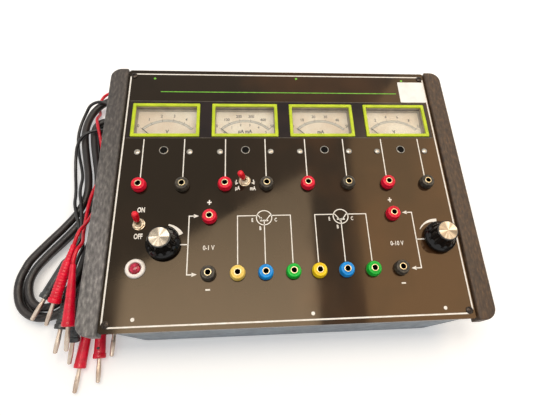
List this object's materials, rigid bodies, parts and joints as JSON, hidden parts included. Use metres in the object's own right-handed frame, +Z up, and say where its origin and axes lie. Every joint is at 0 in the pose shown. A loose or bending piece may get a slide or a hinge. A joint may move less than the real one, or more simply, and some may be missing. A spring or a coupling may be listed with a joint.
{
  "type": "transistor characteristics trainer",
  "caption": "Low bench trainer: overhanging dark case, printed panel, sunken lime-framed meters, coloured patch sockets, fluted knobs, toggles, lamp, mains cord and patch leads.",
  "frame": {"origin": "centre of the case's footprint at the standing surface", "axes": "+X to the right along the case's long edge, +Y to the back where the meters are, +Z up out of the panel"},
  "size_m": [0.4007, 0.3311, 0.0793],
  "materials": {
    "case_shell": "leather-grained moulded shell",
    "panel": "glossy near-black printed face",
    "window": "clear smooth strip",
    "bezel": "satin lime frame",
    "dial": "cream card in a moulded housing",
    "needle": "black paint",
    "socket_red": "smooth moulded",
    "socket_black": "smooth moulded",
    "socket_yellow": "smooth moulded",
    "socket_blue": "smooth moulded",
    "socket_green": "smooth moulded",
    "pot": "plated can and nut",
    "knob": "polished black, spun metal cap",
    "switch_metal": "plated bush and nut",
    "lever": "smooth sleeve",
    "lamp_ring": "white moulded ring",
    "lamp_lens": "crimson faceted lens",
    "cord_fitting": "moulded, slightly glossy",
    "mains_cord": "satin sheath",
    "lead_red": "satin sheath",
    "lead_black": "satin sheath",
    "plug_red": "moulded sleeve, plated pin",
    "plug_black": "moulded sleeve, plated pin"
  },
  "bodies": {
    "base": {"case": "case_shell", "front_panel": "panel", "window_strip": "window", "meter_bezel_1": "bezel", "meter_body_1": "dial", "meter_bezel_2": "bezel", "meter_body_2": "dial", "meter_bezel_3": "bezel", "meter_body_3": "dial", "meter_bezel_4": "bezel", "meter_body_4": "dial", "socket_meter_1_red": "socket_red", "socket_meter_1_black": "socket_black", "socket_meter_2_red": "socket_red", "socket_meter_2_black": "socket_black", "socket_meter_3_red": "socket_red", "socket_meter_3_black": "socket_black", "socket_meter_4_red": "socket_red", "socket_meter_4_black": "socket_black", "socket_low_plus": "socket_red", "socket_low_minus": "socket_black", "socket_high_plus": "socket_red", "socket_high_minus": "socket_black", "socket_pnp_emitter": "socket_yellow", "socket_pnp_base": "socket_blue", "socket_pnp_collector": "socket_green", "socket_npn_emitter": "socket_yellow", "socket_npn_base": "socket_blue", "socket_npn_collector": "socket_green", "pot_left": "pot", "pot_right": "pot", "toggle_mains_body": "switch_metal", "toggle_range_body": "switch_metal", "lamp_holder": "lamp_ring", "lamp_lens": "lamp_lens", "cord_gland": "cord_fitting", "mains_plug": "cord_fitting", "mains_cord_in": "mains_cord", "mains_cord_out": "mains_cord", "mains_cord_hank": "mains_cord", "lead_red_1": "lead_red", "lead_red_2": "lead_red", "lead_black_1": "lead_black", "lead_black_2": "lead_black", "plug_red_1a": "plug_red", "plug_red_1b": "plug_red", "plug_red_2a": "plug_red", "plug_red_2b": "plug_red", "plug_black_1a": "plug_black", "plug_black_1b": "plug_black", "plug_black_2a": "plug_black", "plug_black_2b": "plug_black"},
    "needle_1": {"meter_needle_1": "needle"},
    "needle_2": {"meter_needle_2": "needle"},
    "needle_3": {"meter_needle_3": "needle"},
    "needle_4": {"meter_needle_4": "needle"},
    "dial_left": {"knob_left": "knob"},
    "dial_right": {"knob_right": "knob"},
    "mains_switch": {"toggle_mains_lever": "lever"},
    "range_switch": {"toggle_range_lever": "lever"}
  },
  "joints": [
    {"name": "needle_1_swing", "type": "hinge", "parent": "base", "child": "needle_1", "pos_m": [-0.1091, 0.03945, 0.05375], "axis": [0, 0, 1], "range_deg": [-92, 0], "stiffness_Nm_per_rad": 0.00001},
    {"name": "needle_2_swing", "type": "hinge", "parent": "base", "child": "needle_2", "pos_m": [-0.03637, 0.03945, 0.05375], "axis": [0, 0, 1], "range_deg": [-92, 0], "stiffness_Nm_per_rad": 0.00001},
    {"name": "needle_3_swing", "type": "hinge", "parent": "base", "child": "needle_3", "pos_m": [0.03637, 0.03945, 0.05375], "axis": [0, 0, 1], "range_deg": [-92, 0], "stiffness_Nm_per_rad": 0.00001},
    {"name": "needle_4_swing", "type": "hinge", "parent": "base", "child": "needle_4", "pos_m": [0.1091, 0.03945, 0.05375], "axis": [0, 0, 1], "range_deg": [-92, 0], "stiffness_Nm_per_rad": 0.00001},
    {"name": "knob_left_turn", "type": "hinge", "parent": "base", "child": "dial_left", "pos_m": [-0.10349, -0.05375, 0.06], "axis": [0, 0, 1], "range_deg": [-140, 140]},
    {"name": "knob_right_turn", "type": "hinge", "parent": "base", "child": "dial_right", "pos_m": [0.1288, -0.05375, 0.06], "axis": [0, 0, 1], "range_deg": [-140, 140]},
    {"name": "mains_lever_tilt", "type": "hinge", "parent": "base", "child": "mains_switch", "pos_m": [-0.12451, -0.03625, 0.0622], "axis": [1, 0, 0], "range_deg": [0, 30]},
    {"name": "range_lever_tilt", "type": "hinge", "parent": "base", "child": "range_switch", "pos_m": [-0.0374, 0.00275, 0.0622], "axis": [0, 1, 0], "range_deg": [0, 30]}
  ]
}
